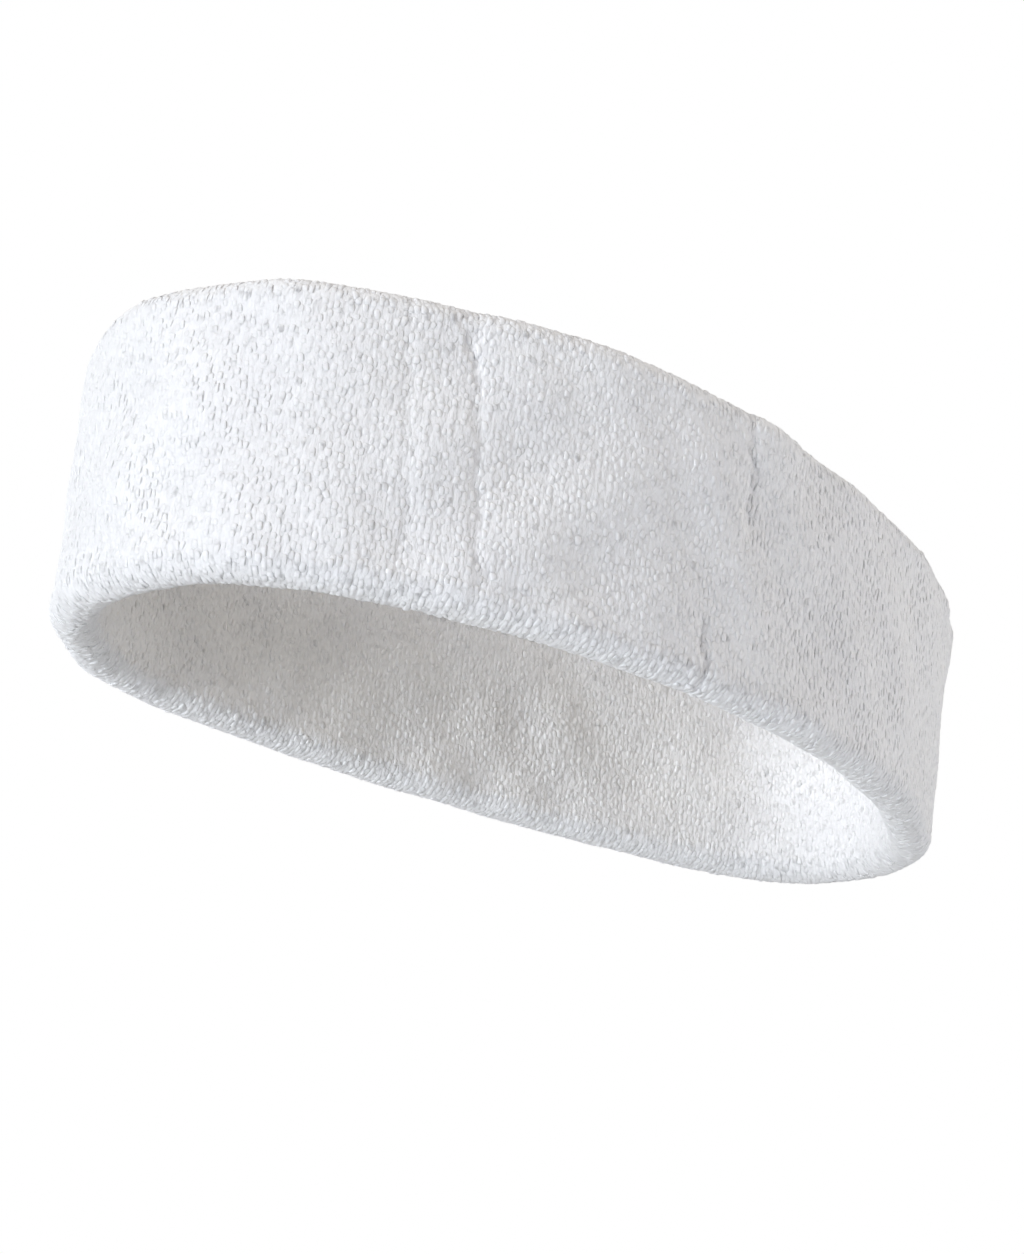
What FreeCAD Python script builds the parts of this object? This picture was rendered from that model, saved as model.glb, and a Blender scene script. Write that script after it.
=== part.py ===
import FreeCAD, Part
import math
import os

import Sketcher
from FreeCAD import Placement, Rotation, Vector

# A sports headband: a terry sleeve knitted as one tube, folded double round the head and closed
# by an overlocked seam inside its top fold. Millimetres. +X runs along the oval towards the
# forehead, +Z along the band's axis, and the origin is the middle of the oval on the surface
# that the lower fold rests on.

SIZES = {
    "half_length": (96.0, "rear end to front end along X, halved, at the middle of the wall"),
    "rear_radius": (42.3, "plan radius of the wide rear end"),
    "front_radius": (29.0, "plan radius of the narrower front end"),
    "left_radius": (325.0, "plan radius of the flatter flank, on +Y"),
    "right_radius": (146.6, "plan radius of the fuller flank, on -Y"),
    "band_height": (55.0, "fold to fold"),
    "wall_thickness": (9.4, "face to face, both fabric layers with their loops"),
    "pile_depth": (2.2, "length of the cotton loops"),
    "knit_thickness": (0.9, "ground knit that holds the loops"),
    "rest_depth": (0.25, "how far the lower fold is pressed flat by its own weight"),
    "split_gap": (0.5, "between the two halves at rest"),
    "yarn_diameter": (0.8, "covered rubber yarn"),
    "yarn_offset": (0.75, "rubber yarns from the middle of the wall, towards either face"),
    "yarn_pitch": (3.0, "rubber yarn to rubber yarn"),
    "yarn_count": (15, "rubber yarns behind each face"),
    "seam_drop": (5.5, "top fold to the middle of the closing seam"),
    "seam_width": (4.0, "overlocked strip without loops"),
    "thread_diameter": (0.5, "sewing thread as it lies, slightly fluffed"),
    "thread_spacing": (1.2, "needle thread to lower looper to upper looper"),
    "thread_lift": (0.6, "thread's middle above the ground knit"),
    "tack_length": (6.0, "bar tack that locks the thread ends, along the seam"),
    "tack_height": (3.0, "bar tack across the seam"),
    "tack_thickness": (0.8, "bar tack"),
    "tack_gap": (0.1, "between the bar tack and the threads under it"),
}

document = FreeCAD.newDocument("headband")
sheet = document.addObject("Spreadsheet::Sheet", "sizes")
for row, (alias, (value, meaning)) in enumerate(SIZES.items(), start=1):
    sheet.set(f"A{row}", alias)
    sheet.set(f"B{row}", str(value))
    sheet.set(f"C{row}", meaning)
    sheet.setAlias(f"B{row}", alias)
document.recompute()


def amount(expression):
    """What an expression of the sheet's dimensions comes to."""
    return float(sheet.evalExpression(expression))


def flank_centre(alias):
    """Where a flank's centre of curvature lies: two expressions, `along` and `rise`.

    The flank circle is tangent inside to both end circles, which fixes its centre: `along` the
    line of the end centres from the rear one, and off that line by the `rise`."""
    rear_arm = f"(sizes.{alias} - sizes.rear_radius)"
    front_arm = f"(sizes.{alias} - sizes.front_radius)"
    span = "(2 * sizes.half_length - sizes.rear_radius - sizes.front_radius)"
    along = f"((pow({rear_arm}; 2) - pow({front_arm}; 2) + pow({span}; 2)) / (2 * {span}))"
    return along, f"sqrt(pow({rear_arm}; 2) - pow({along}; 2))"


LEFT_ALONG, LEFT_RISE = flank_centre("left_radius")
RIGHT_ALONG, RIGHT_RISE = flank_centre("right_radius")
# The flanks reach out unequally, so the line of the end centres lies off the middle of the oval.
LEFT_REACH = f"(sizes.left_radius - {LEFT_RISE})"
RIGHT_REACH = f"(sizes.right_radius - {RIGHT_RISE})"
END_LINE = f"(({RIGHT_REACH} - {LEFT_REACH}) / 2)"
REAR_CENTRE = "(sizes.rear_radius - sizes.half_length)"
FRONT_CENTRE = "(sizes.half_length - sizes.front_radius)"

# Places in the wall's section at the rear end, and a distance that is past the band all round.
WALL = "(-sizes.half_length)"
HALF_WALL = "(sizes.wall_thickness / 2)"
LOWER_CENTRE = f"({HALF_WALL} - sizes.rest_depth)"
UPPER_CENTRE = f"(sizes.band_height - {HALF_WALL})"
KNIT_FACE = f"({HALF_WALL} - sizes.pile_depth)"
SEAM_LEVEL = "(sizes.band_height - sizes.seam_drop)"
BEYOND = "(1.5 * sizes.half_length)"
UP = Vector(0, 0, 1)


def origin_plane(body, role):
    return next(item for item in body.Origin.OriginFeatures if item.Role == role)


def new_sketch(body, name, role):
    sketch = body.newObject("Sketcher::SketchObject", f"{body.Name}_{name}")
    sketch.AttachmentSupport = [(origin_plane(body, role), "")]
    sketch.MapMode = "FlatFace"
    return sketch


def bound(sketch, name, expression, kind, *geometry):
    """Adds a dimension and binds it to the sheet."""
    constraint = Sketcher.Constraint(kind, *geometry, amount(expression))
    sketch.renameConstraint(sketch.addConstraint(constraint), name)
    sketch.setExpression(f"Constraints.{name}", expression)


def point(x, y):
    """A sketch point from two expressions."""
    return Vector(amount(x), amount(y), 0)


def oval_path(body):
    """The wall's middle line in plan: two end arcs and two flank arcs, all tangent.

    It starts at the rear end, where every cross-section is drawn, so the rear arc is in two."""
    sketch = new_sketch(body, "path", "XY_Plane")
    rear = point(REAR_CENTRE, END_LINE)
    front = point(FRONT_CENTRE, END_LINE)
    right = point(f"{REAR_CENTRE} + {RIGHT_ALONG}", f"{END_LINE} + {RIGHT_RISE}")
    left = point(f"{REAR_CENTRE} + {LEFT_ALONG}", f"{END_LINE} - {LEFT_RISE}")

    def heading(start, end):
        return math.atan2(end.y - start.y, end.x - start.x)

    def arc(centre, radius, start, end):
        circle = Part.Circle(centre, UP, amount(radius))
        sketch.addGeometry(Part.ArcOfCircle(circle, start, end), False)

    arc(rear, "sizes.rear_radius", -math.pi, heading(right, rear))
    arc(right, "sizes.right_radius", heading(right, rear), heading(right, front))
    arc(front, "sizes.front_radius", heading(right, front), heading(left, front))
    arc(left, "sizes.left_radius", heading(left, front), heading(left, rear))
    arc(rear, "sizes.rear_radius", heading(left, rear), math.pi)
    for first in range(4):
        sketch.addConstraint(Sketcher.Constraint("Tangent", first, 2, first + 1, 1))
    sketch.addConstraint(Sketcher.Constraint("Coincident", 4, 2, 0, 1))
    sketch.addConstraint(Sketcher.Constraint("Coincident", 0, 3, 4, 3))
    sketch.addConstraint(Sketcher.Constraint("Horizontal", 0, 1, 0, 3))
    sketch.addConstraint(Sketcher.Constraint("Horizontal", 0, 3, 2, 3))
    bound(sketch, "rear_arc", "sizes.rear_radius", "Radius", 0)
    bound(sketch, "right_arc", "sizes.right_radius", "Radius", 1)
    bound(sketch, "front_arc", "sizes.front_radius", "Radius", 2)
    bound(sketch, "left_arc", "sizes.left_radius", "Radius", 3)
    bound(sketch, "rear_end", "sizes.half_length", "DistanceX", 0, 1, -1, 1)
    bound(sketch, "end_level", END_LINE, "DistanceY", -1, 1, 0, 3)
    bound(sketch, "front_centre", FRONT_CENTRE, "DistanceX", -1, 1, 2, 3)
    return sketch


def section_sketch(body, name):
    """A sketch across the wall at its rear end, where the middle line runs along Y."""
    sketch = new_sketch(body, name, "XZ_Plane")
    sketch.AttachmentOffset = Placement(Vector(0, 0, -amount(END_LINE)), Rotation())
    sketch.setExpression("AttachmentOffset.Base.z", f"-{END_LINE}")
    return sketch


def folded_section(body, name, inset):
    """The double wall in section: two straight faces joined by a round fold above and below.

    `inset` is an expression for how far this outline lies inside the wall's own faces."""
    sketch = section_sketch(body, name)
    fold = f"({HALF_WALL} - ({inset}))"
    lower = point(WALL, LOWER_CENTRE)
    upper = point(WALL, UPPER_CENTRE)
    radius = amount(fold)
    aside = Vector(radius, 0, 0)
    lower_fold = Part.ArcOfCircle(Part.Circle(lower, UP, radius), math.pi, 2 * math.pi)
    upper_fold = Part.ArcOfCircle(Part.Circle(upper, UP, radius), 0, math.pi)
    sketch.addGeometry(lower_fold, False)
    sketch.addGeometry(Part.LineSegment(lower + aside, upper + aside), False)
    sketch.addGeometry(upper_fold, False)
    sketch.addGeometry(Part.LineSegment(upper - aside, lower - aside), False)
    for first in range(4):
        following = (first + 1) % 4
        sketch.addConstraint(Sketcher.Constraint("Tangent", first, 2, following, 1))
    bound(sketch, "lower_fold", fold, "Radius", 0)
    bound(sketch, "upper_fold", fold, "Radius", 2)
    bound(sketch, "lower_wall", WALL, "DistanceX", -1, 1, 0, 3)
    bound(sketch, "upper_wall", WALL, "DistanceX", -1, 1, 2, 3)
    bound(sketch, "lower_level", LOWER_CENTRE, "DistanceY", -1, 1, 0, 3)
    bound(sketch, "upper_level", UPPER_CENTRE, "DistanceY", -1, 1, 2, 3)
    return sketch


def round_section(body, name, diameter, inward, level):
    """A round yarn or thread in section, `inward` of the wall's middle line and at `level`."""
    sketch = section_sketch(body, name)
    place = f"({WALL} + {inward})"
    circle = Part.Circle(point(place, level), UP, amount(diameter) / 2)
    sketch.addGeometry(circle, False)
    bound(sketch, "across", diameter, "Diameter", 0)
    bound(sketch, "place", place, "DistanceX", -1, 1, 0, 3)
    bound(sketch, "level", level, "DistanceY", -1, 1, 0, 3)
    return sketch


def rectangle(sketch, low_x, high_x, low_y, high_y):
    """Four lines between two corners, each side's place an expression."""
    corners = [
        point(low_x, low_y), point(high_x, low_y), point(high_x, high_y), point(low_x, high_y),
    ]
    for first, direction in enumerate(["Horizontal", "Vertical"] * 2):
        following = (first + 1) % 4
        sketch.addGeometry(Part.LineSegment(corners[first], corners[following]), False)
        sketch.addConstraint(Sketcher.Constraint(direction, first))
    for first in range(4):
        following = (first + 1) % 4
        sketch.addConstraint(Sketcher.Constraint("Coincident", first, 2, following, 1))
    bound(sketch, "low_x", low_x, "DistanceX", -1, 1, 0, 1)
    bound(sketch, "high_x", high_x, "DistanceX", -1, 1, 1, 2)
    bound(sketch, "low_y", low_y, "DistanceY", -1, 1, 0, 1)
    bound(sketch, "high_y", high_y, "DistanceY", -1, 1, 2, 1)


def pipe(body, kind, name, section, path):
    feature = body.newObject(f"PartDesign::{kind}Pipe", f"{body.Name}_{name}")
    feature.Profile = section
    feature.Spine = (path, [])
    return feature


def cut_block(body, name, sketch, upwards):
    """Cuts the sketch's area through the whole body, above or below the surface it rests on."""
    feature = body.newObject("PartDesign::Pocket", f"{body.Name}_{name}")
    feature.Profile = sketch
    feature.Type = "ThroughAll"
    feature.Reversed = upwards
    return feature


def keep_half(body, half):
    """Cuts the ring across its flanks and keeps the rear (-X) or front (+X) half."""
    sketch = new_sketch(body, "split", "XY_Plane")
    if half == "rear":
        rectangle(sketch, "-sizes.split_gap / 2", BEYOND, f"-{BEYOND}", BEYOND)
    else:
        rectangle(sketch, f"-{BEYOND}", "sizes.split_gap / 2", f"-{BEYOND}", BEYOND)
    return cut_block(body, "half", sketch, upwards=True)


def new_body(label):
    body = document.addObject("PartDesign::Body", label)
    body.Label = label
    body.AllowCompound = True
    body.Placement = Placement()
    return body


def ground_knit(half):
    """The knitted tube itself, hollow between its two layers, with its loops left off."""
    body = new_body(f"ground_knit_{half}")
    path = oval_path(body)
    outside = folded_section(body, "outside", "sizes.pile_depth")
    inside = folded_section(body, "inside", "sizes.pile_depth + sizes.knit_thickness")
    pipe(body, "Additive", "tube", outside, path)
    pipe(body, "Subtractive", "hollow", inside, path)
    keep_half(body, half)
    return body


def terry_pile(half):
    """The coat of cotton loops on both faces and round both folds.

    It is pressed flat where the band rests, and left out along the closing seam."""
    body = new_body(f"terry_pile_{half}")
    path = oval_path(body)
    outside = folded_section(body, "outside", "0")
    inside = folded_section(body, "inside", "sizes.pile_depth")
    pipe(body, "Additive", "coat", outside, path)
    pipe(body, "Subtractive", "hollow", inside, path)

    seam = section_sketch(body, "seam")
    rectangle(
        seam,
        f"{WALL} + {KNIT_FACE}",
        f"{WALL} + 2 * {HALF_WALL}",
        f"{SEAM_LEVEL} - sizes.seam_width / 2",
        f"{SEAM_LEVEL} + sizes.seam_width / 2",
    )
    pipe(body, "Subtractive", "channel", seam, path)

    footprint = new_sketch(body, "footprint", "XY_Plane")
    rectangle(footprint, f"-{BEYOND}", BEYOND, f"-{BEYOND}", BEYOND)
    cut_block(body, "rest", footprint, upwards=False)
    keep_half(body, half)
    return body


def rubber_yarns(wall, half):
    """The covered rubber yarns that run round the band behind one face, evenly up its height."""
    body = new_body(f"rubber_yarns_{wall}_{half}")
    path = oval_path(body)
    inward = {"inner": "sizes.yarn_offset", "outer": "-sizes.yarn_offset"}[wall]
    spread = "((sizes.yarn_count - 1) * sizes.yarn_pitch)"
    lowest = f"(sizes.band_height - {spread}) / 2"
    section = round_section(body, "section", "sizes.yarn_diameter", inward, lowest)
    hoop = pipe(body, "Additive", "hoop", section, path)
    document.recompute()
    pattern = body.newObject("PartDesign::LinearPattern", f"{body.Name}_hoops")
    pattern.Originals = [hoop]
    pattern.Direction = (path, ["N_Axis"])
    pattern.setExpression("Length", spread)
    pattern.setExpression("Occurrences", "sizes.yarn_count")
    body.Tip = pattern
    keep_half(body, half)
    return body


def seam_thread(name, steps_down, half):
    """One thread of the closing seam, in the channel where the loops are left out."""
    body = new_body(f"seam_{name}_{half}")
    path = oval_path(body)
    inward = f"{KNIT_FACE} + sizes.thread_lift"
    level = f"{SEAM_LEVEL} - {steps_down} * sizes.thread_spacing"
    section = round_section(body, "section", "sizes.thread_diameter", inward, level)
    pipe(body, "Additive", "strand", section, path)
    keep_half(body, half)
    return body


def seam_tack():
    """The bar tack across the seam at the rear, where its thread ends are locked."""
    tack = document.addObject("Part::Box", "seam_tack")
    tack.Label = "seam_tack"
    tack.setExpression("Length", "sizes.tack_thickness")
    tack.setExpression("Width", "sizes.tack_length")
    tack.setExpression("Height", "sizes.tack_height")
    on_threads = "sizes.thread_lift + sizes.thread_diameter / 2 + sizes.tack_gap"
    tack.setExpression("Placement.Base.x", f"{WALL} + {KNIT_FACE} + {on_threads}")
    tack.setExpression("Placement.Base.y", f"{END_LINE} - sizes.tack_length / 2")
    tack.setExpression("Placement.Base.z", f"{SEAM_LEVEL} - sizes.tack_height / 2")
    return tack


def band_half(half):
    threads = {"upper_looper": -1, "lower_looper": 0, "needle_thread": 1}
    return [
        terry_pile(half),
        ground_knit(half),
        rubber_yarns("outer", half),
        rubber_yarns("inner", half),
        *[seam_thread(name, steps, half) for name, steps in threads.items()],
    ]


subparts = [*band_half("rear"), *band_half("front"), seam_tack()]
document.recompute()

for item in document.Objects:
    faults = {"Invalid", "Error"} & set(item.State)
    if faults:
        raise RuntimeError(f"{item.Name} is {item.State}: {item.getStatusString()}")
for part in subparts:
    if part.Shape.isNull() or not part.Shape.isValid() or not part.Shape.Solids:
        raise RuntimeError(f"{part.Label} has no valid solid")

os.makedirs("parts", exist_ok=True)
for part in subparts:
    part.Shape.exportStep(f"parts/{part.Label}.step")
    box = part.Shape.BoundBox
    print(
        f"{part.Label:28s} solids {len(part.Shape.Solids):2d}  volume {part.Shape.Volume:9.1f}"
        f"  x {box.XMin:7.2f} {box.XMax:7.2f}  y {box.YMin:7.2f} {box.YMax:7.2f}"
        f"  z {box.ZMin:6.2f} {box.ZMax:6.2f}"
    )
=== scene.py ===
import math

import bpy
import numpy as np
from mathutils import Matrix, Vector


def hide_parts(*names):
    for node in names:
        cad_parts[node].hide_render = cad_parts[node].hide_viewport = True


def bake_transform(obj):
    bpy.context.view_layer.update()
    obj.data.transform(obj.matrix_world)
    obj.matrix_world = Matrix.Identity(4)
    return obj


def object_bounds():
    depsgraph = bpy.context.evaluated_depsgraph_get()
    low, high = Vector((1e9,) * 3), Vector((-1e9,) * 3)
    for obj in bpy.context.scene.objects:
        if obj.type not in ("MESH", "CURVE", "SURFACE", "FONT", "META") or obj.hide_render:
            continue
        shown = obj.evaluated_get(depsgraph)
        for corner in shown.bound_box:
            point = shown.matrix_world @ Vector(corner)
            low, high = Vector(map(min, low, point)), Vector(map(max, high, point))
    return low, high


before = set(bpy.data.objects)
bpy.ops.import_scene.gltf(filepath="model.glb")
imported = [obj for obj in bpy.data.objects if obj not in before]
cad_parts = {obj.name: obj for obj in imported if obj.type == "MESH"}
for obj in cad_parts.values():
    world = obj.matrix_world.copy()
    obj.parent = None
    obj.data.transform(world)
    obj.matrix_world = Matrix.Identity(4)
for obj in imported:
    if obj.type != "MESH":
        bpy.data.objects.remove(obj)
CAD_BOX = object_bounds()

MM = 0.001
RANDOM = np.random.default_rng(20)

# ---------------------------------------------------------------- the band's own shape, in mm
# Plan: two end arcs and two flank arcs, all tangent, along the middle of the wall.
REAR_RADIUS, FRONT_RADIUS = 42.3, 29.0
LEFT_RADIUS, RIGHT_RADIUS = 325.0, 146.6
WALL = 9.4                       # face to face
PILE = 2.2                       # loops' length
KNIT = 0.9                       # ground knit
HEIGHT = (CAD_BOX[1].z - CAD_BOX[0].z) / MM
HALF_LENGTH = (CAD_BOX[1].x - CAD_BOX[0].x) / MM / 2 - WALL / 2
LOW_FOLD = WALL / 2 - 0.25       # level of the lower fold's centre: its loops are pressed flat
HIGH_FOLD = HEIGHT - WALL / 2
FACE = HIGH_FOLD - LOW_FOLD      # straight height of each face
LEAN = 2.4                       # how much further out the top fold lies than the lower one

SEAM_LEVEL = HEIGHT - 5.5
SEAM_WIDTH = 4.0


def flank_centre(radius):
    """A flank circle's centre, tangent inside to both end circles: along and off their line."""
    rear_arm, front_arm = radius - REAR_RADIUS, radius - FRONT_RADIUS
    span = 2 * HALF_LENGTH - REAR_RADIUS - FRONT_RADIUS
    along = (rear_arm**2 - front_arm**2 + span**2) / (2 * span)
    return along, math.sqrt(rear_arm**2 - along**2)


def plan_arcs():
    """(centre, radius, start heading, end heading) of the five arcs from the rear end round."""
    right_along, right_rise = flank_centre(RIGHT_RADIUS)
    left_along, left_rise = flank_centre(LEFT_RADIUS)
    end_line = ((RIGHT_RADIUS - right_rise) - (LEFT_RADIUS - left_rise)) / 2
    rear = np.array([REAR_RADIUS - HALF_LENGTH, end_line])
    front = np.array([HALF_LENGTH - FRONT_RADIUS, end_line])
    right = rear + (right_along, right_rise)
    left = rear + (left_along, -left_rise)

    def heading(start, end):
        return math.atan2(end[1] - start[1], end[0] - start[0])

    return end_line, [
        (rear, REAR_RADIUS, -math.pi, heading(right, rear)),
        (right, RIGHT_RADIUS, heading(right, rear), heading(right, front)),
        (front, FRONT_RADIUS, heading(right, front), heading(left, front)),
        (left, LEFT_RADIUS, heading(left, front), heading(left, rear)),
        (rear, REAR_RADIUS, heading(left, rear), math.pi),
    ]


END_LINE, ARCS = plan_arcs()
LENGTHS = [radius * (end - start) for _, radius, start, end in ARCS]
ROUND = sum(LENGTHS)             # the band's length round the middle of its wall


def round_band(s):
    """Points on the middle line and its outward normals, at distances s round from the rear."""
    s = np.mod(s, ROUND)
    point, normal = np.zeros(s.shape + (2,)), np.zeros(s.shape + (2,))
    begun = 0.0
    for (centre, radius, start, _), length in zip(ARCS, LENGTHS):
        here = (s >= begun) & (s <= begun + length)
        heading = start + (s[here] - begun) / radius
        normal[here] = np.stack([np.cos(heading), np.sin(heading)], -1)
        point[here] = centre + radius * normal[here]
        begun += length
    return point, normal


FOLD = math.pi * WALL / 2        # length over a fold, on the loops' tips
OVER = 2 * FACE + 2 * FOLD       # length right round the section


def round_section(v):
    """Where v, the distance round the wall's section, lies: its level and its heading.

    v runs up the outer face, over the top fold, down the inner face and under the lower fold."""
    v = np.mod(v, OVER)
    level = np.select(
        [v < FACE, v < FACE + FOLD, v < 2 * FACE + FOLD],
        [LOW_FOLD + v, np.full_like(v, HIGH_FOLD), HIGH_FOLD - (v - FACE - FOLD)],
        LOW_FOLD,
    )
    heading = np.select(
        [v < FACE, v < FACE + FOLD, v < 2 * FACE + FOLD],
        [np.zeros_like(v), (v - FACE) / (WALL / 2), np.full_like(v, math.pi)],
        math.pi + (v - 2 * FACE - FOLD) / (WALL / 2),
    )
    return level, heading


def ripples(count, wave_s, wave_z, size):
    """Soft random waves over the band: a function of s and z that gives mm, about `size`."""
    turns = np.round(ROUND / (wave_s * RANDOM.uniform(0.6, 1.8, count)))
    rise = 2 * math.pi / (wave_z * RANDOM.uniform(0.7, 2.0, count)) * RANDOM.choice([-1, 1], count)
    phase = RANDOM.uniform(0, 2 * math.pi, count)

    def field(s, z):
        total = np.zeros(np.broadcast(s, z).shape)
        for n, r, p in zip(turns, rise, phase):
            total += np.sin(2 * math.pi * n * s / ROUND + r * z + p)
        return size * total / math.sqrt(count / 2)

    return field


SWAY = ripples(6, 130, 150, 0.45)        # the whole wall leans in and out
EDGE = ripples(6, 70, 400, 0.22)         # both folds rise and fall
PUFF_OUT = ripples(16, 26, 30, 0.30)     # soft unevenness of the outer face
PUFF_IN = ripples(16, 26, 30, 0.22)      # and of the inner face



def crown(s):
    """The upper fold stands a little higher along the right flank, as in the photo."""
    return 1.0 * np.exp(-(((np.mod(s, ROUND) - 88.0) / 48.0) ** 4))


def rear_fullness(s):
    """The rear end is a little fuller on its left side."""
    off = np.mod(s - 447.0 + ROUND / 2, ROUND) - ROUND / 2
    return 1.3 * np.exp(-((off / 30.0) ** 2))


# Creases pressed into the outer face: (s, z) at the upper and lower end, depth and half width.
CREASES = [
    ((61.0, 55.0), (67.8, 6.0), 0.50, 1.2),
    ((59.4, 53.0), (61.9, 45.0), 0.38, 1.0),
    ((50.0, 50.0), (55.3, 10.0), 0.34, 1.2),
    ((117.0, 51.0), (119.2, 34.0), 0.60, 1.2),
    ((112.6, 10.0), (113.6, 0.0), 0.85, 1.1),
    ((112.6, 10.0), (119.4, 31.0), 0.40, 1.4),
]


def creased(s, z):
    """How far the outer face is pressed in at s, z."""
    depth = np.zeros(np.broadcast(s, z).shape)
    for (s_top, z_top), (s_low, z_low), most, width in CREASES:
        share = np.clip((z - z_low) / (z_top - z_low), 0, 1)
        waver = 0.45 * np.sin(0.55 * z + s_top) + 0.3 * np.sin(1.35 * z + s_low)
        off = s - (s_low + (s_top - s_low) * share) - waver
        past = np.maximum(z - z_top, z_low - z).clip(0)
        depth += most * np.exp(-((off / width) ** 2) - (past / 3.0) ** 2)
    return depth


def turned_away(s, z):
    """How far the lower part of the outer face draws in past the middle of the right flank."""
    begins = 1 / (1 + np.exp((92.0 - s) / 4.0))
    ends = 1 / (1 + np.exp((s - 150.0) / 12.0))
    return 1.3 * begins * ends * np.exp(-(((z - 14.0) / 20.0) ** 2))


def place(s, v, radius):
    """Points in mm at s round the band and v round its section, `radius` from the wall's core."""
    level, heading = round_section(v)
    outward = np.cos(heading)
    face_out, face_in = np.clip(outward, 0, 1), np.clip(-outward, 0, 1)
    s = np.mod(s, ROUND)
    pressed = creased(s, level) + turned_away(s, level)
    puff = face_out * (PUFF_OUT(s, level) - pressed) + face_in * PUFF_IN(s, level)
    reach = radius + puff * np.clip(radius / (WALL / 2), 0, 1)
    along = reach * outward + LEAN * (level / HEIGHT - 0.5) + SWAY(s, level) + rear_fullness(s)
    rise = (EDGE(s, 0 * level) + crown(s)) * (level / HEIGHT)
    up = level + reach * np.sin(heading) + rise
    middle, normal = round_band(s)
    return np.concatenate([middle + normal * along[..., None], up[..., None]], -1)


def frame_at(s, v, radius):
    """A point with unit vectors along the rows, up the wales, and out of the cloth."""
    step = 0.15
    here = place(s, v, radius)
    across = place(s + step, v, radius) - place(s - step, v, radius)
    upward = place(s, v + step, radius) - place(s, v - step, radius)
    across /= np.linalg.norm(across, axis=-1, keepdims=True)
    out = np.cross(across, upward)
    out /= np.linalg.norm(out, axis=-1, keepdims=True)
    return here, across, np.cross(out, across), out


# ---------------------------------------------------------------- mesh helpers
def mesh_object(name, points, quads, material, uvs=None):
    """A smooth-shaded mesh from points in mm, quads, and one UV per quad corner."""
    mesh = bpy.data.meshes.new(name)
    mesh.vertices.add(len(points))
    mesh.vertices.foreach_set("co", (np.asarray(points, np.float32) * MM).ravel())
    mesh.loops.add(quads.size)
    mesh.loops.foreach_set("vertex_index", quads.ravel().astype(np.int32))
    mesh.polygons.add(len(quads))
    mesh.polygons.foreach_set("loop_start", np.arange(0, quads.size, 4, dtype=np.int32))
    if uvs is not None:
        layer = mesh.uv_layers.new(name="strand")
        layer.data.foreach_set("uv", uvs.astype(np.float32).ravel())
    mesh.update(calc_edges=True)
    mesh.polygons.foreach_set("use_smooth", np.ones(len(quads), bool))
    mesh.validate()
    piece = bpy.data.objects.new(name, mesh)
    bpy.context.scene.collection.objects.link(piece)
    mesh.materials.append(material)
    return piece


def grid_quads(rows, columns, close_rows=False, close_columns=False):
    """Quads over a rows by columns grid of points, closed either way round if asked."""
    i = np.arange(rows if close_rows else rows - 1)
    j = np.arange(columns if close_columns else columns - 1)
    i, j = np.meshgrid(i, j, indexing="ij")
    i, j = i.ravel(), j.ravel()
    i_next, j_next = (i + 1) % rows, (j + 1) % columns
    quads = np.stack(
        [i * columns + j, i_next * columns + j, i_next * columns + j_next, i * columns + j_next], -1
    )
    uvs = np.stack(
        [np.stack([i, j], -1), np.stack([i + 1, j], -1),
         np.stack([i + 1, j + 1], -1), np.stack([i, j + 1], -1)], 1,
    )
    return quads, uvs


def strands(lines, radii, sides, closed=False, flatness=1.0):
    """Tubes round many centrelines at once: points, quads and UVs (mm along, turns round).

    lines is (strand, point, xyz) and radii (strand, point). `sides` is even, so that quads cap
    the ends of an open strand. `flatness` squashes the tube in the plane of its own bend."""
    count, length = lines.shape[:2]
    if closed:
        tangent = np.roll(lines, -1, 1) - np.roll(lines, 1, 1)
    else:
        tangent = np.gradient(lines, axis=1)
    tangent /= np.linalg.norm(tangent, axis=-1, keepdims=True) + 1e-12
    # A reference direction across each strand: the normal of the plane it mostly lies in.
    spread = lines - lines.mean(1, keepdims=True)
    _, axes = np.linalg.eigh(np.einsum("npi,npj->nij", spread, spread))
    side = np.repeat(axes[:, None, :, 0], length, 1)
    side -= tangent * (side * tangent).sum(-1, keepdims=True)
    side /= np.linalg.norm(side, axis=-1, keepdims=True) + 1e-12
    other = np.cross(tangent, side)
    turn = np.arange(sides) * 2 * math.pi / sides
    ring = (
        side[:, :, None, :] * np.cos(turn)[None, None, :, None]
        + other[:, :, None, :] * np.sin(turn)[None, None, :, None] * flatness
    )
    points = lines[:, :, None, :] + ring * radii[:, :, None, None]
    quads, uvs = grid_quads(length, sides, close_rows=closed, close_columns=True)
    quads, uvs = quads[:, ::-1], uvs[:, ::-1]
    if not closed:
        cap = np.array([[0, k, k + 1, k + 2] for k in range(1, sides - 2, 2)])
        quads = np.concatenate([quads, cap[:, ::-1], cap + (length - 1) * sides])
        uvs = np.concatenate([uvs, np.zeros((2 * len(cap), 4, 2), uvs.dtype)])
    each = length * sides
    all_quads = (quads[None] + (np.arange(count) * each)[:, None, None]).reshape(-1, 4)
    steps = np.linalg.norm(np.diff(lines, axis=1), axis=-1).mean(1)
    all_uvs = np.repeat(uvs[None].astype(float), count, 0)
    all_uvs[..., 0] *= steps[:, None, None]
    all_uvs[..., 1] /= sides
    return points.reshape(-1, 3), all_quads, all_uvs.reshape(-1, 2)


# ---------------------------------------------------------------- materials
def nodes_of(name):
    material = bpy.data.materials.new(name)
    material.use_nodes = True
    tree = material.node_tree
    return material, tree, tree.nodes["Principled BSDF"]


def link(tree, source, output, target, socket):
    tree.links.new(source.outputs[output], target.inputs[socket])


def noise(tree, vector, scale, detail=2.0, roughness=0.5):
    node = tree.nodes.new("ShaderNodeTexNoise")
    node.inputs["Scale"].default_value = scale
    node.inputs["Detail"].default_value = detail
    node.inputs["Roughness"].default_value = roughness
    if vector is not None:
        tree.links.new(vector, node.inputs["Vector"])
    return node


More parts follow.
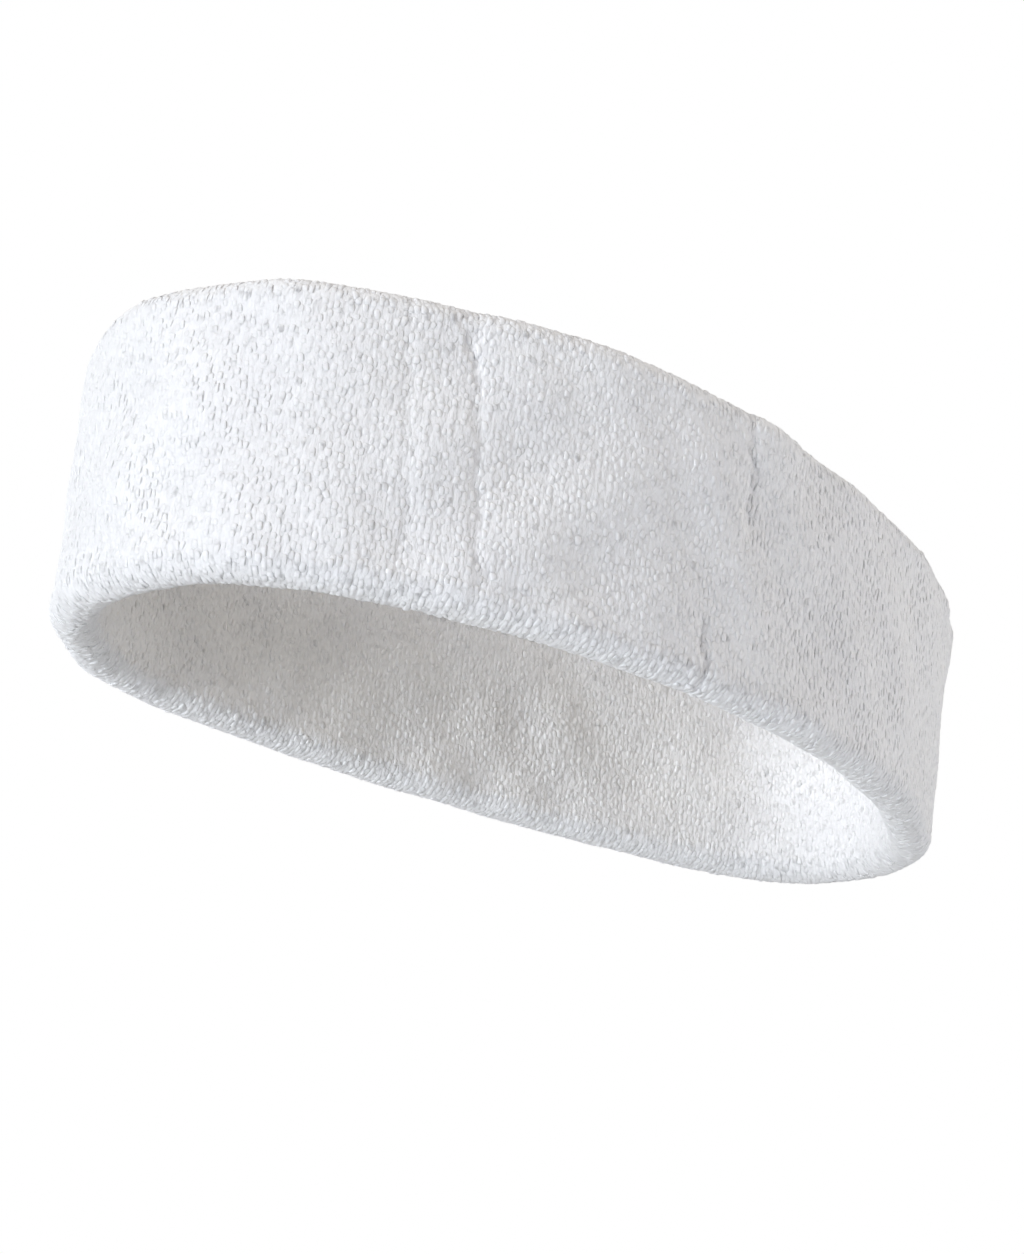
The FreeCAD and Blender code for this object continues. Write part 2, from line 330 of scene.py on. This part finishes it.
def ramp(tree, source, low, high, low_colour, high_colour):
    node = tree.nodes.new("ShaderNodeValToRGB")
    node.color_ramp.elements[0].position = low
    node.color_ramp.elements[0].color = (*low_colour, 1)
    node.color_ramp.elements[1].position = high
    node.color_ramp.elements[1].color = (*high_colour, 1)
    tree.links.new(source, node.inputs["Fac"])
    return node


def strand_waves(tree, per_mm, turns):
    """Diagonal lines along a yarn, from its strand UV: the twist of its plies."""
    uv = tree.nodes.new("ShaderNodeUVMap")
    uv.uv_map = "strand"
    scale = tree.nodes.new("ShaderNodeMapping")
    scale.inputs["Scale"].default_value = (per_mm, turns, 1.0)
    link(tree, uv, "UV", scale, "Vector")
    wave = tree.nodes.new("ShaderNodeTexWave")
    wave.wave_type = "BANDS"
    wave.bands_direction = "DIAGONAL"
    wave.inputs["Scale"].default_value = 1.0
    wave.inputs["Distortion"].default_value = 1.2
    wave.inputs["Detail"].default_value = 2.0
    wave.inputs["Detail Scale"].default_value = 2.0
    link(tree, scale, "Vector", wave, "Vector")
    return wave


def bumped(tree, shader, heights, distance):
    """Chains one Bump node per (height output, strength)."""
    last = None
    for height, strength in heights:
        bump = tree.nodes.new("ShaderNodeBump")
        bump.inputs["Strength"].default_value = strength
        bump.inputs["Distance"].default_value = distance
        tree.links.new(height, bump.inputs["Height"])
        if last is not None:
            link(tree, last, "Normal", bump, "Normal")
        last = bump
    link(tree, last, "Normal", shader, "Normal")


def upright_streaks(tree, across_mm, along_mm):
    """Soft upright streaks on a skin whose UV is in mm: the heads of loops half sunk in fuzz."""
    uv = tree.nodes.new("ShaderNodeUVMap")
    uv.uv_map = "strand"
    scale = tree.nodes.new("ShaderNodeMapping")
    scale.inputs["Scale"].default_value = (1 / across_mm, 1 / along_mm, 1.0)
    link(tree, uv, "UV", scale, "Vector")
    return noise(tree, scale.outputs["Vector"], 1.0, 2.0)


def cotton_material(name, sunk):
    """White cotton pile yarn: soft patches of warmer and cooler white, plied twist, fine fuzz.

    `sunk` is for the mat of fuzz, which shows streaks where the loops have the twist."""
    material, tree, shader = nodes_of(name)
    place_of = tree.nodes.new("ShaderNodeTexCoord").outputs["Object"]
    patches = noise(tree, place_of, 60.0, 3.0)
    flecks = noise(tree, place_of, 900.0, 2.0)
    tint = ramp(tree, patches.outputs["Fac"], 0.35, 0.65, (0.86, 0.862, 0.875), (0.90, 0.902, 0.91))
    fleck = ramp(tree, flecks.outputs["Fac"], 0.3, 0.6, (0.955, 0.955, 0.955), (1.0, 1.0, 1.0))
    mix = tree.nodes.new("ShaderNodeMix")
    mix.data_type = "RGBA"
    mix.blend_type = "MULTIPLY"
    mix.inputs["Factor"].default_value = 1.0
    tree.links.new(tint.outputs["Color"], mix.inputs["A"])
    tree.links.new(fleck.outputs["Color"], mix.inputs["B"])
    tree.links.new(mix.outputs["Result"], shader.inputs["Base Color"])
    rough = ramp(tree, flecks.outputs["Fac"], 0.3, 0.7, (0.86,) * 3, (1.0,) * 3)
    link(tree, rough, "Color", shader, "Roughness")
    shader.inputs["Specular IOR Level"].default_value = 0.15
    shader.inputs["Sheen Weight"].default_value = 0.35
    shader.inputs["Sheen Roughness"].default_value = 0.6
    shader.inputs["Subsurface Weight"].default_value = 0.5
    shader.inputs["Subsurface Radius"].default_value = (1.0, 1.0, 1.0)
    shader.inputs["Subsurface Scale"].default_value = 0.0005
    fuzz = noise(tree, place_of, 3000.0, 3.0)
    if sunk:
        streaks = upright_streaks(tree, 1.0, 2.8)
        bumped(tree, shader, [(streaks.outputs["Fac"], 1.0), (fuzz.outputs["Fac"], 0.08)], 0.0006)
    else:
        twist = strand_waves(tree, 0.9, 2.0)
        bumped(tree, shader, [(twist.outputs["Fac"], 0.15), (fuzz.outputs["Fac"], 0.25)], 0.00012)
    return material


def knit_material():
    """The ground knit between the loops: fine upright stitches in a slightly darker white."""
    material, tree, shader = nodes_of("ground_knit")
    place_of = tree.nodes.new("ShaderNodeTexCoord").outputs["Object"]
    patches = noise(tree, place_of, 300.0, 3.0)
    tint = ramp(tree, patches.outputs["Fac"], 0.3, 0.7, (0.78, 0.78, 0.79), (0.86, 0.86, 0.87))
    link(tree, tint, "Color", shader, "Base Color")
    shader.inputs["Roughness"].default_value = 0.95
    shader.inputs["Specular IOR Level"].default_value = 0.15
    shader.inputs["Sheen Weight"].default_value = 0.2
    shader.inputs["Sheen Roughness"].default_value = 0.6
    stitches = strand_waves(tree, 0.55, 0.7)
    fuzz = noise(tree, place_of, 3000.0, 2.0)
    bumped(tree, shader, [(stitches.outputs["Fac"], 0.6), (fuzz.outputs["Fac"], 0.4)], 0.0002)
    return material


def thread_material(name, low, high, sheen):
    material, tree, shader = nodes_of(name)
    place_of = tree.nodes.new("ShaderNodeTexCoord").outputs["Object"]
    patches = noise(tree, place_of, 700.0, 2.0)
    tint = ramp(tree, patches.outputs["Fac"], 0.3, 0.7, low, high)
    link(tree, tint, "Color", shader, "Base Color")
    shader.inputs["Roughness"].default_value = 0.6
    shader.inputs["Specular IOR Level"].default_value = 0.3
    shader.inputs["Sheen Weight"].default_value = sheen
    shader.inputs["Sheen Roughness"].default_value = 0.4
    twist = strand_waves(tree, 2.2, 2.0)
    bumped(tree, shader, [(twist.outputs["Fac"], 0.7)], 0.00008)
    return material


# ---------------------------------------------------------------- the pieces
WALE = 2.05                      # wale to wale, round the band
COURSE = 2.0                     # loop to loop, up a wale
SECTORS = 14                     # the loops are made in this many pieces round the band
SIDES, STEPS = 6, 8              # of each loop's tube


def loop_seeds():
    """Root places of all loops: s, v and whether each is a tall one in its wale."""
    wales = int(round(ROUND / WALE))
    rows = int(round(OVER / COURSE))
    seeds = []
    for tall, shift in ((True, 0.0), (False, 0.5)):
        wale, row = np.meshgrid(np.arange(wales), np.arange(rows), indexing="ij")
        s = (wale + shift) * ROUND / wales
        v = (row + 0.5 * (wale % 2) + shift) * OVER / rows
        s = s + RANDOM.normal(0, 0.14 if tall else 0.18, s.shape)
        v = v + RANDOM.normal(0, 0.35, v.shape)
        seeds.append(np.stack([s, v, np.full(s.shape, float(tall))], -1).reshape(-1, 3))
    seeds = np.concatenate(seeds)
    return seeds[seam_distance(seeds[:, 1]) > SEAM_WIDTH / 2 + 0.3]


def loop_lines(seeds):
    """The centreline and radius of each loop of pile yarn."""
    s, v, tall = seeds[:, 0], seeds[:, 1], seeds[:, 2]
    count = len(seeds)
    root_radius = WALL / 2 - PILE
    here, across, up, out = frame_at(s, v, np.full(count, root_radius))
    height = np.where(tall > 0, 1.77, 1.73) * RANDOM.uniform(0.975, 1.025, count)
    lift = place(s, v, root_radius + height) - here
    half_foot = RANDOM.uniform(0.60, 0.90, count)
    head = RANDOM.uniform(1.15, 1.70, count)
    turn = RANDOM.normal(0, 0.16, count)
    lean_up = RANDOM.normal(0.10, 0.35, count)
    lean_side = RANDOM.normal(0, 0.14, count)
    along = up * np.cos(turn)[:, None] + across * np.sin(turn)[:, None]
    aside = np.cross(out, along)
    t = np.linspace(0, 1, STEPS)
    swing = -np.cos(math.pi * t)                    # -1 at one root, 1 at the other
    rise = np.sin(math.pi * t) ** 0.45
    width = half_foot[:, None] + (head - half_foot)[:, None] * rise[None]
    line = (
        here[:, None]
        + along[:, None] * (swing[None] * width + lean_up[:, None] * rise[None] ** 2)[..., None]
        + aside[:, None] * (lean_side[:, None] * rise[None] ** 2)[..., None]
        + lift[:, None] * rise[None, :, None]
    )
    thick = RANDOM.uniform(0.50, 0.64, count)
    radii = thick[:, None] * (0.62 + 0.38 * np.sin(math.pi * t) ** 0.5)[None]
    return line, radii


def seam_distance(v):
    """How far, in mm over the tips, a place in the section lies from the middle of the seam."""
    seam = FACE + FOLD + (HIGH_FOLD - SEAM_LEVEL)
    return np.abs(np.mod(v - seam + OVER / 2, OVER) - OVER / 2)


def skin(rounds, overs, radius):
    """One closed skin right round the band and its section: points, quads and UVs in mm."""
    s = np.arange(rounds) * ROUND / rounds
    v = np.arange(overs) * OVER / overs
    s, v = np.meshgrid(s, v, indexing="ij")
    quads, uvs = grid_quads(rounds, overs, close_rows=True, close_columns=True)
    points = place(s, v, radius(s, v)).reshape(-1, 3)
    return points, quads, uvs * np.array([ROUND / rounds, OVER / overs])


def hollow_sleeve(name, outer, inner, material):
    """A sleeve between two closed skins."""
    (points, quads, uvs), (lining, lining_quads, lining_uvs) = outer, inner
    return mesh_object(
        name,
        np.concatenate([points, lining]),
        np.concatenate([quads, lining_quads[:, ::-1] + len(points)]),
        material,
        np.concatenate([uvs, lining_uvs[:, ::-1]]),
    )


BED = 1.84                       # depth of the mat of loop feet and fuzz between the loops
BED_WAVES = ripples(14, 4.2, 5.0, 0.04)


def terry_bed(material):
    """The mat that the loops' feet and their fuzz make, up to where single loops stand out."""
    def bed_radius(s, v):
        clear = np.clip((seam_distance(v) - SEAM_WIDTH / 2 + 0.5) / 0.9, 0, 1)
        return WALL / 2 - PILE - 0.02 + (BED + BED_WAVES(s, v)) * clear

    def foot_radius(s, v):
        return np.full(s.shape, WALL / 2 - PILE - 0.05)

    outer, lining = skin(560, 150, bed_radius), skin(200, 40, foot_radius)
    return hollow_sleeve("terry_bed", outer, lining, material)


def terry_loops(material):
    """All the loops, in pieces by where they stand round the band."""
    seeds = loop_seeds()
    lines, radii = loop_lines(seeds)
    sector = np.floor(np.mod(seeds[:, 0], ROUND) / ROUND * SECTORS).astype(int)
    pieces = []
    for number in range(SECTORS):
        mine = sector == number
        points, quads, uvs = strands(lines[mine], radii[mine], SIDES, flatness=0.36)
        name = f"terry_loops_{number + 1:02d}"
        pieces.append(mesh_object(name, points, quads, material, uvs))
    return pieces


def ground_knit(material):
    """The knitted tube that the loops grow from: an outer skin and the skin of its hollow."""
    def face(s, v):
        return np.full(s.shape, WALL / 2 - PILE)

    def back(s, v):
        return np.full(s.shape, WALL / 2 - PILE - KNIT)

    return hollow_sleeve("ground_knit", skin(600, 110, face), skin(300, 50, back), material)


def rubber_yarns(name, offset, material):
    """Fifteen covered rubber yarns round the band, between its two layers."""
    count, pitch, points_round = 15, 3.0, 300
    s = np.arange(points_round) * ROUND / points_round
    middle, normal = round_band(s)
    lines = []
    for number in range(count):
        level = HEIGHT / 2 + (number - (count - 1) / 2) * pitch
        along = offset + LEAN * (level / HEIGHT - 0.5) + SWAY(s, level)
        flat = middle + normal * along[:, None]
        lines.append(np.concatenate([flat, np.full((points_round, 1), level)], -1))
    lines = np.array(lines)
    radii = np.full(lines.shape[:2], 0.4)
    points, quads, uvs = strands(lines, radii, 8, closed=True)
    return mesh_object(name, points, quads, material, uvs)


STITCHES = 200


def seam_line(s, across, lift):
    """Points on the seam: s round the band, `across` upwards from its middle, and lifted."""
    v = FACE + FOLD + (HIGH_FOLD - SEAM_LEVEL) - across
    here, _, _, out = frame_at(s, v, np.full(s.shape, WALL / 2 - PILE))
    return here + out * lift[..., None]


def seam_thread(name, shape, material):
    """One thread of the overlock all round the band. shape gives (forward, across, lift)."""
    per_stitch = 14
    t = np.arange(STITCHES * per_stitch) / per_stitch
    forward, across, lift = shape(t)
    s = (t + forward) * ROUND / STITCHES
    line = seam_line(s, across, lift)[None]
    points, quads, uvs = strands(line, np.full(line.shape[:2], 0.2), 6, closed=True)
    return mesh_object(name, points, quads, material, uvs)


def needle_shape(t):
    """Straight stitches that dip into the cloth at each end."""
    dip = np.abs(np.sin(math.pi * t))
    return 0 * t, -1.35 + 0 * t, 0.10 + 0.35 * dip**0.5


def lower_looper_shape(t):
    """From the needle line out over the edge and back, leaning one way."""
    wave = 0.5 - 0.5 * np.cos(2 * math.pi * t)
    return 0.16 * np.sin(2 * math.pi * t), -1.3 + 2.5 * wave, 0.42 + 0.12 * np.sin(math.pi * wave)


def upper_looper_shape(t):
    """The same half a stitch on, leaning the other way and lying over the lower looper."""
    wave = 0.5 - 0.5 * np.cos(2 * math.pi * (t + 0.5))
    return -0.16 * np.sin(2 * math.pi * t), -1.2 + 2.7 * wave, 0.75 + 0.12 * np.sin(math.pi * wave)


def seam_tack(material):
    """Close zigzag stitches over the seam at the rear, which lock the thread ends."""
    passes, length, tall = 26, 6.0, 3.0
    t = np.linspace(0, passes, passes * 8 + 1)
    triangle = np.abs(np.mod(t, 2) - 1) * 2 - 1
    s = (t / passes - 0.5) * length
    lift = 1.25 + 0.25 * (1 - triangle**2)
    line = seam_line(s, triangle * tall / 2, lift)[None]
    radii = np.full(line.shape[:2], 0.2)
    points, quads, uvs = strands(line, radii, 6)
    return mesh_object("seam_tack_stitches", points, quads, material, uvs)


def stretching(piece):
    """Bakes the piece's transform into its mesh."""
    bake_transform(piece)


def build():
    cotton, mat = cotton_material("cotton_loops", False), cotton_material("cotton_mat", True)
    knit = knit_material()
    thread = thread_material("sewing_thread", (0.84, 0.84, 0.85), (0.92, 0.92, 0.93), 0.2)
    rubber = thread_material("rubber_yarn", (0.74, 0.73, 0.70), (0.80, 0.79, 0.76), 0.1)

    loops = [terry_bed(mat), *terry_loops(cotton)]
    sleeve = ground_knit(knit)
    seam = {
        "needle_thread": seam_thread("seam_needle_thread", needle_shape, thread),
        "lower_looper": seam_thread("seam_lower_looper", lower_looper_shape, thread),
        "upper_looper": seam_thread("seam_upper_looper", upper_looper_shape, thread),
    }
    tack = seam_tack(thread)
    yarns = {
        "outer": rubber_yarns("rubber_yarns_outer", 0.75, rubber),
        "inner": rubber_yarns("rubber_yarns_inner", -0.75, rubber),
    }
    for piece in loops:
        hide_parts("terry_pile_rear", "terry_pile_front")
        stretching(piece)
    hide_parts("ground_knit_rear", "ground_knit_front")
    stretching(sleeve)
    for part, piece in seam.items():
        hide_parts(f"seam_{part}_rear", f"seam_{part}_front")
        stretching(piece)
    for wall, piece in yarns.items():
        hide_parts(f"rubber_yarns_{wall}_rear", f"rubber_yarns_{wall}_front")
        stretching(piece)
    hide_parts("seam_tack")
    stretching(tack)


# ---------------------------------------------------------------- floor, light and camera
def soft_light(name, place_of, target, size, power, colour=(1, 1, 1)):
    data = bpy.data.lights.new(name, "AREA")
    data.shape = "DISK"
    data.size = size
    data.energy = power
    data.color = colour
    lamp = bpy.data.objects.new(name, data)
    lamp.location = place_of
    lamp.visible_camera = False
    lamp.rotation_mode = "QUATERNION"
    lamp.rotation_quaternion = (Vector(target) - Vector(place_of)).to_track_quat("-Z", "Y")
    bpy.context.scene.collection.objects.link(lamp)
    return lamp


def studio():
    scene = bpy.context.scene
    scene.view_settings.view_transform = "Standard"
    world = bpy.data.worlds.new("studio")
    world.use_nodes = True
    tree = world.node_tree
    dim = tree.nodes["Background"]
    dim.inputs["Color"].default_value = (0.97, 0.98, 1.0, 1)
    dim.inputs["Strength"].default_value = 0.06
    white = tree.nodes.new("ShaderNodeBackground")
    white.inputs["Color"].default_value = (1, 1, 1, 1)
    white.inputs["Strength"].default_value = 1.0
    seen = tree.nodes.new("ShaderNodeLightPath")
    either = tree.nodes.new("ShaderNodeMixShader")
    link(tree, seen, "Is Camera Ray", either, "Fac")
    tree.links.new(dim.outputs["Background"], either.inputs[1])
    tree.links.new(white.outputs["Background"], either.inputs[2])
    link(tree, either, "Shader", tree.nodes["World Output"], "Surface")
    scene.world = world

    middle = (0, 0, 0.02)
    soft_light("key_low_left", (-1.35, -0.10, -0.40), middle, 0.5, 15.4, (0.91, 0.95, 1.0))
    soft_light("high_left", (-1.25, -0.10, 0.50), middle, 0.5, 1.7, (1.0, 0.93, 0.93))
    soft_light("steep_left", (-0.80, 0.00, 1.15), middle, 0.5, 4.8)
    soft_light("front", (0.20, -1.50, 0.15), middle, 1.2, 7.6, (0.88, 0.91, 1.0))
    soft_light("above", (0.12, -0.80, 1.25), middle, 1.2, 5.3, (1.0, 0.86, 0.66))
    soft_light("right", (1.30, -0.60, 0.10), middle, 1.0, 8.2)
    soft_light("behind", (0.10, 1.50, 0.45), middle, 1.2, 11.0)

    floor_mesh = bpy.data.meshes.new("floor")
    reach, level = 12.0, -1.0
    corners = [
        (-reach, -reach, level), (reach, -reach, level),
        (reach, reach, level), (-reach, reach, level),
    ]
    floor_mesh.from_pydata(corners, [], [(0, 1, 2, 3)])
    floor = bpy.data.objects.new("floor", floor_mesh)
    scene.collection.objects.link(floor)
    material, tree, shader = nodes_of("floor")
    shader.inputs["Base Color"].default_value = (0.82, 0.82, 0.82, 1)
    shader.inputs["Roughness"].default_value = 0.9
    # The lamps stand near the band, so the far floor is shown evenly pale, like the backdrop.
    pale = tree.nodes.new("ShaderNodeEmission")
    pale.inputs["Color"].default_value = (0.88, 0.88, 0.88, 1)
    seen = tree.nodes.new("ShaderNodeLightPath")
    either = tree.nodes.new("ShaderNodeMixShader")
    link(tree, seen, "Is Camera Ray", either, "Fac")
    tree.links.new(shader.outputs["BSDF"], either.inputs[1])
    tree.links.new(pale.outputs["Emission"], either.inputs[2])
    link(tree, either, "Shader", tree.nodes["Material Output"], "Surface")
    floor_mesh.materials.append(material)


def camera():
    """The eye is low and to the right of the rear end, and looks up at the band from below."""
    azimuth, elevation, roll = (math.radians(x) for x in (-37.34, -21.12, 6.94))
    distance, right_shift, up_shift = 435.9, 7.08, 0.15
    back = Vector((
        math.sin(azimuth) * math.cos(elevation),
        -math.cos(azimuth) * math.cos(elevation),
        math.sin(elevation),
    ))
    level_right = (-back).cross(Vector((0, 0, 1))).normalized()
    level_up = level_right.cross(-back)
    right = math.cos(roll) * level_right + math.sin(roll) * level_up
    up = -math.sin(roll) * level_right + math.cos(roll) * level_up
    target = Vector((0, END_LINE, HEIGHT / 2))
    eye = target + back * distance - right * right_shift - up * up_shift

    data = bpy.data.cameras.new("camera")
    data.sensor_width = 36.0
    data.lens = 36.0 * 2200 / 1254
    data.clip_start, data.clip_end = 0.01, 20
    seen_from = bpy.data.objects.new("camera", data)
    axes = Matrix((right, up, back)).transposed().to_4x4()
    axes.translation = eye * MM
    seen_from.matrix_world = axes
    bpy.context.scene.collection.objects.link(seen_from)
    bpy.context.scene.camera = seen_from


camera()
studio()
build()
bpy.context.view_layer.update()
